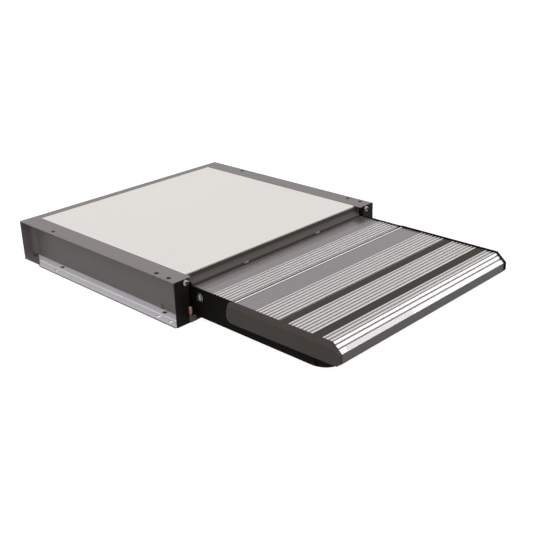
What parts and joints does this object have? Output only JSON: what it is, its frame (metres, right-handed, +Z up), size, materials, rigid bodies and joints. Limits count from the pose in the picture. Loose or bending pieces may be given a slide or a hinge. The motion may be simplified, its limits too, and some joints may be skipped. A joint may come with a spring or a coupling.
{
  "type": "caravan pull out step",
  "caption": "Flat under-floor housing with a ribbed aluminium step tread that slides out on rollers and locks when stowed with a red lever.",
  "frame": {"origin": "centre of the rectangle of the outer bolt holes, in the underside of the mounting rails", "axes": "+X to the right seen from outside the vehicle, +Y into the vehicle, +Z up; the tread slides out along -Y"},
  "size_m": [0.546, 0.8187, 0.084],
  "materials": {
    "grey_paint": "grey powder coat on folded sheet",
    "black_paint": "satin black powder coat",
    "beam_paint": "dark grey paint",
    "white_panel": "matt pale sheet",
    "bare_aluminium": "mill finish",
    "tread_aluminium": "brushed extrusion",
    "rubber": "matt black",
    "cap_plastic": "grained dark grey",
    "steel": "zinc plated",
    "trim_paint": "dark grey coat",
    "nylon": "natural nylon",
    "red_grip": "soft red plastic",
    "reflector": "clear reflective film"
  },
  "bodies": {
    "housing": {"left_side_channel": "grey_paint", "right_side_channel": "grey_paint", "left_mounting_rail": "bare_aluminium", "right_mounting_rail": "bare_aluminium", "flange_nuts": "black_paint", "back_panel": "grey_paint", "top_panel": "white_panel", "left_panel_ledge": "grey_paint", "right_panel_ledge": "grey_paint", "front_crossbeam": "beam_paint", "wiper_seal": "rubber", "seal_clips": "nylon", "left_end_plate": "black_paint", "right_end_plate": "black_paint", "front_sill": "black_paint", "rear_crossmember": "black_paint", "left_roller_track": "bare_aluminium", "right_roller_track": "bare_aluminium", "front_stop_buffers": "rubber", "rear_stop_buffers": "rubber", "end_plate_screws": "steel", "end_plate_rivets": "black_paint", "rail_rivets": "beam_paint", "track_screws": "steel", "lever_pin": "steel"},
    "tread": {"rear_plank": "tread_aluminium", "middle_plank": "tread_aluminium", "front_plank": "tread_aluminium", "nose_plank": "tread_aluminium", "rear_rubber_strip": "rubber", "front_rubber_strip": "rubber", "front_trim": "trim_paint", "reflector_strip": "reflector", "left_end_cap": "cap_plastic", "right_end_cap": "cap_plastic", "left_arm": "black_paint", "right_arm": "black_paint", "rear_crossbar": "bare_aluminium", "middle_crossbar": "bare_aluminium", "front_crossbar": "bare_aluminium", "arm_bolts": "steel", "cap_screws": "steel", "plank_rivets": "bare_aluminium", "roller_axles": "steel", "axle_clips": "steel", "lock_stud": "steel"},
    "lever": {"lock_lever": "steel", "lever_grip": "red_grip"},
    "left_front_wheel": {"left_front_roller": "nylon"},
    "left_rear_wheel": {"left_rear_roller": "nylon"},
    "right_front_wheel": {"right_front_roller": "nylon"},
    "right_rear_wheel": {"right_rear_roller": "nylon"}
  },
  "joints": [
    {"name": "tread_slide", "type": "slide", "parent": "housing", "child": "tread", "axis": [0, 1, 0], "range_m": [0, 0.3216]},
    {"name": "lock_lever_swing", "type": "hinge", "parent": "housing", "child": "lever", "pos_m": [-0.2364, -0.127, 0.00865], "axis": [-1, 0, 0], "range_deg": [0, 8]},
    {"name": "left_front_roller_turn", "type": "hinge", "parent": "tread", "child": "left_front_wheel", "pos_m": [-0.2192, -0.176, 0.027], "axis": [1, 0, 0], "range_deg": [-1545, 5]},
    {"name": "left_rear_roller_turn", "type": "hinge", "parent": "tread", "child": "left_rear_wheel", "pos_m": [-0.2192, -0.062, 0.027], "axis": [1, 0, 0], "range_deg": [-1545, 5]},
    {"name": "right_front_roller_turn", "type": "hinge", "parent": "tread", "child": "right_front_wheel", "pos_m": [0.2192, -0.176, 0.027], "axis": [1, 0, 0], "range_deg": [-1545, 5]},
    {"name": "right_rear_roller_turn", "type": "hinge", "parent": "tread", "child": "right_rear_wheel", "pos_m": [0.2192, -0.062, 0.027], "axis": [1, 0, 0], "range_deg": [-1545, 5]}
  ],
  "couplings": [
    {"joint": "left_front_roller_turn", "follows": "tread_slide", "rad_per_m": -83.333},
    {"joint": "left_rear_roller_turn", "follows": "tread_slide", "rad_per_m": -83.333},
    {"joint": "right_front_roller_turn", "follows": "tread_slide", "rad_per_m": -83.333},
    {"joint": "right_rear_roller_turn", "follows": "tread_slide", "rad_per_m": -83.333}
  ]
}
